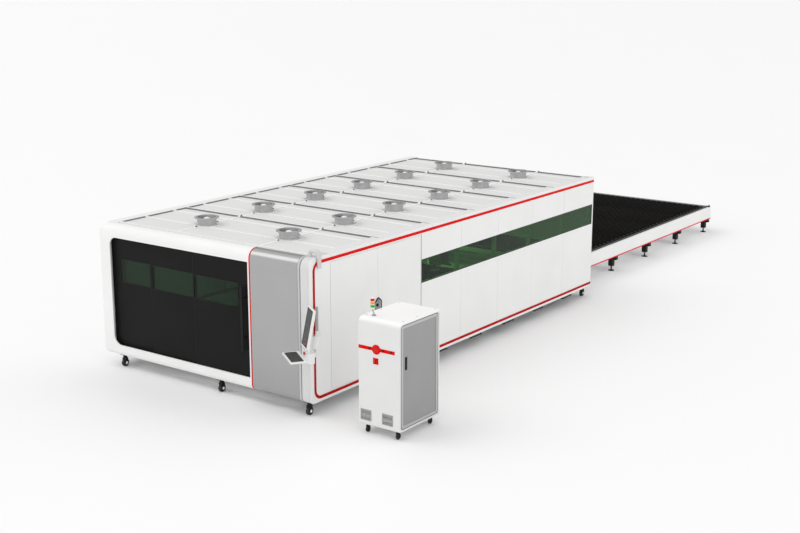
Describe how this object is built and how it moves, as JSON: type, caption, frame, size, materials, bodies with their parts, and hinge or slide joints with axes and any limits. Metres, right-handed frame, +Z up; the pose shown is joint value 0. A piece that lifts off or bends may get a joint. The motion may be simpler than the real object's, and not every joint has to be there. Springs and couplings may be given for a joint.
{
  "type": "fiber laser cutting machine",
  "caption": "Enclosed fiber laser sheet cutter: white housing with sliding front door, side window, roof extraction collars, shuttle table behind it, swivel console and control cabinet",
  "frame": {"origin": "on the floor under the middle of the bed", "axes": "+Z up, +Y from the front door to the shuttle table, +X to the machine's right side"},
  "size_m": [5.985, 16.3315, 2.516],
  "materials": {
    "white_paint": "white powder coat, satin",
    "grey_paint": "grey powder coat, satin",
    "red_paint": "red gloss paint",
    "dark_panel": "black satin paint",
    "green_glass": "green laser-safety glass",
    "collar_steel": "galvanised sheet",
    "black_metal": "black paint",
    "bed_paint": "light grey machine paint",
    "rail_steel": "ground steel",
    "end_grey": "grey paint",
    "head_metal": "dark anodised aluminium",
    "white_plastic": "white nylon and plastic",
    "black_plastic": "black plastic",
    "red_plastic": "red plastic",
    "screen": "dark screen and keys",
    "lens": "red, amber and green lens plastic",
    "caster_rubber": "black rubber"
  },
  "bodies": {
    "machine": {"skeleton": "white_paint", "front_fascia": "white_paint", "front_column": "grey_paint", "corner_post": "white_paint", "red_trim": "red_paint", "right_wall": "white_paint", "right_window": "green_glass", "left_wall": "white_paint", "rear_wall": "white_paint", "roof_panel": "white_paint", "exhaust_collars": "collar_steel", "door_leaf_left": "dark_panel", "door_window_left": "green_glass", "base_brackets": "black_metal", "base_wheels": "white_plastic", "bed": "bed_paint", "track_rails": "rail_steel", "levelling_feet": "black_metal", "table_beams": "white_paint", "table_end_rail": "end_grey", "table_legs": "black_metal", "cable_arch": "white_paint", "console_mount": "white_paint", "cabinet_shell": "white_paint", "cabinet_trim": "red_paint", "cabinet_forks": "black_metal", "laser_source": "head_metal", "tower_pole": "white_plastic", "tower_lenses": "lens"},
    "front_door_mid": {"door_leaf_mid": "dark_panel", "door_window_mid": "green_glass"},
    "front_door_right": {"door_leaf_right": "dark_panel", "door_window_right": "green_glass", "door_handle": "black_metal"},
    "access_front": {"side_door_front": "white_paint"},
    "access_rear": {"side_door_rear": "white_paint"},
    "access_lock": {"side_latch": "black_plastic"},
    "gantry": {"gantry_beam": "bed_paint"},
    "cross_carriage": {"carriage": "rail_steel"},
    "head": {"cutting_head": "head_metal"},
    "pallet_upper": {"pallet_upper_frame": "black_metal", "pallet_upper_slats": "black_metal"},
    "pallet_lower": {"pallet_lower_frame": "black_metal", "pallet_lower_slats": "black_metal"},
    "console": {"console_arm": "white_paint"},
    "monitor": {"monitor_case": "white_plastic", "monitor_screen": "screen"},
    "tray": {"keyboard_tray": "white_plastic", "keyboard_keys": "screen"},
    "stop_button": {"console_estop": "red_plastic"},
    "cabinet_front_door": {"cabinet_door": "grey_paint"},
    "door_swing_handle": {"cabinet_handle": "black_plastic"},
    "power_switch": {"main_switch": "red_plastic"},
    "push_left": {"button_left": "black_plastic"},
    "push_middle": {"button_middle": "black_plastic"},
    "push_right": {"button_right": "black_plastic"},
    "caster_front_left": {"wheel_front_left": "caster_rubber"},
    "caster_front_right": {"wheel_front_right": "caster_rubber"},
    "caster_rear_left": {"wheel_rear_left": "caster_rubber"},
    "caster_rear_right": {"wheel_rear_right": "caster_rubber"}
  },
  "joints": [
    {"name": "front_door_slide", "type": "slide", "parent": "machine", "child": "front_door_right", "axis": [-1, 0, 0], "range_m": [0, 1.81]},
    {"name": "front_door_mid_slide", "type": "slide", "parent": "machine", "child": "front_door_mid", "axis": [-1, 0, 0], "range_m": [0, 0.905]},
    {"name": "access_front_hinge", "type": "hinge", "parent": "machine", "child": "access_front", "pos_m": [2.185, -3.805, 1.3], "axis": [0, 0, -1], "range_deg": [0, 55]},
    {"name": "access_rear_hinge", "type": "hinge", "parent": "machine", "child": "access_rear", "pos_m": [2.185, -1.549, 1.3], "axis": [0, 0, 1], "range_deg": [0, 100]},
    {"name": "access_lock_turn", "type": "hinge", "parent": "access_front", "child": "access_lock", "pos_m": [2.2, -2.715, 1.382], "axis": [1, 0, 0], "range_deg": [0, 90]},
    {"name": "gantry_slide", "type": "slide", "parent": "machine", "child": "gantry", "axis": [0, 1, 0], "range_m": [-4.835, 1.965]},
    {"name": "carriage_slide", "type": "slide", "parent": "gantry", "child": "cross_carriage", "axis": [1, 0, 0], "range_m": [-1.835, 0.665]},
    {"name": "head_lift", "type": "slide", "parent": "cross_carriage", "child": "head", "axis": [0, 0, 1], "range_m": [-0.17, 0.08]},
    {"name": "pallet_upper_slide", "type": "slide", "parent": "machine", "child": "pallet_upper", "axis": [0, 1, 0], "range_m": [-8.3, 0]},
    {"name": "pallet_lower_slide", "type": "slide", "parent": "machine", "child": "pallet_lower", "axis": [0, 1, 0], "range_m": [0, 8.3]},
    {"name": "console_swivel", "type": "hinge", "parent": "machine", "child": "console", "pos_m": [2.245, -4.21, 1.2], "axis": [0, 0, 1], "range_deg": [-8, 80]},
    {"name": "monitor_tilt", "type": "hinge", "parent": "console", "child": "monitor", "pos_m": [2.29983, -4.4884, 1.18], "axis": [0.809, -0.5878, 0], "range_deg": [-8, 11]},
    {"name": "tray_fold", "type": "hinge", "parent": "console", "child": "tray", "pos_m": [2.25691, -4.52706, 1.02], "axis": [-0.809, 0.5878, 0], "range_deg": [0, 65]},
    {"name": "stop_press", "type": "slide", "parent": "console", "child": "stop_button", "axis": [0.5878, 0.809, 0], "range_m": [0, 0.006], "stiffness_N_per_m": 800},
    {"name": "cabinet_door_hinge", "type": "hinge", "parent": "machine", "child": "cabinet_front_door", "pos_m": [3.784, -3.384, 0.9], "axis": [0, 0, 1], "range_deg": [0, 110]},
    {"name": "cabinet_handle_swing", "type": "hinge", "parent": "cabinet_front_door", "child": "door_swing_handle", "pos_m": [3.78, -4.147, 1.19], "axis": [0, -1, 0], "range_deg": [0, 45]},
    {"name": "power_switch_turn", "type": "hinge", "parent": "machine", "child": "power_switch", "pos_m": [3.379, -4.305, 1.112], "axis": [0, -1, 0], "range_deg": [0, 90]},
    {"name": "push_left_press", "type": "slide", "parent": "machine", "child": "push_left", "axis": [0, 1, 0], "range_m": [0, 0.005], "stiffness_N_per_m": 500},
    {"name": "push_middle_press", "type": "slide", "parent": "machine", "child": "push_middle", "axis": [0, 1, 0], "range_m": [0, 0.005], "stiffness_N_per_m": 500},
    {"name": "push_right_press", "type": "slide", "parent": "machine", "child": "push_right", "axis": [0, 1, 0], "range_m": [0, 0.005], "stiffness_N_per_m": 500},
    {"name": "caster_front_left_roll", "type": "hinge", "parent": "machine", "child": "caster_front_left", "pos_m": [3.17, -4.213, 0.045], "axis": [1, 0, 0], "continuous": true},
    {"name": "caster_front_right_roll", "type": "hinge", "parent": "machine", "child": "caster_front_right", "pos_m": [3.698, -4.213, 0.045], "axis": [1, 0, 0], "continuous": true},
    {"name": "caster_rear_left_roll", "type": "hinge", "parent": "machine", "child": "caster_rear_left", "pos_m": [3.17, -3.428, 0.045], "axis": [1, 0, 0], "continuous": true},
    {"name": "caster_rear_right_roll", "type": "hinge", "parent": "machine", "child": "caster_rear_right", "pos_m": [3.698, -3.428, 0.045], "axis": [1, 0, 0], "continuous": true}
  ],
  "couplings": [
    {"joint": "front_door_mid_slide", "follows": "front_door_slide", "ratio": 0.5},
    {"joint": "pallet_lower_slide", "follows": "pallet_upper_slide", "ratio": -1}
  ]
}
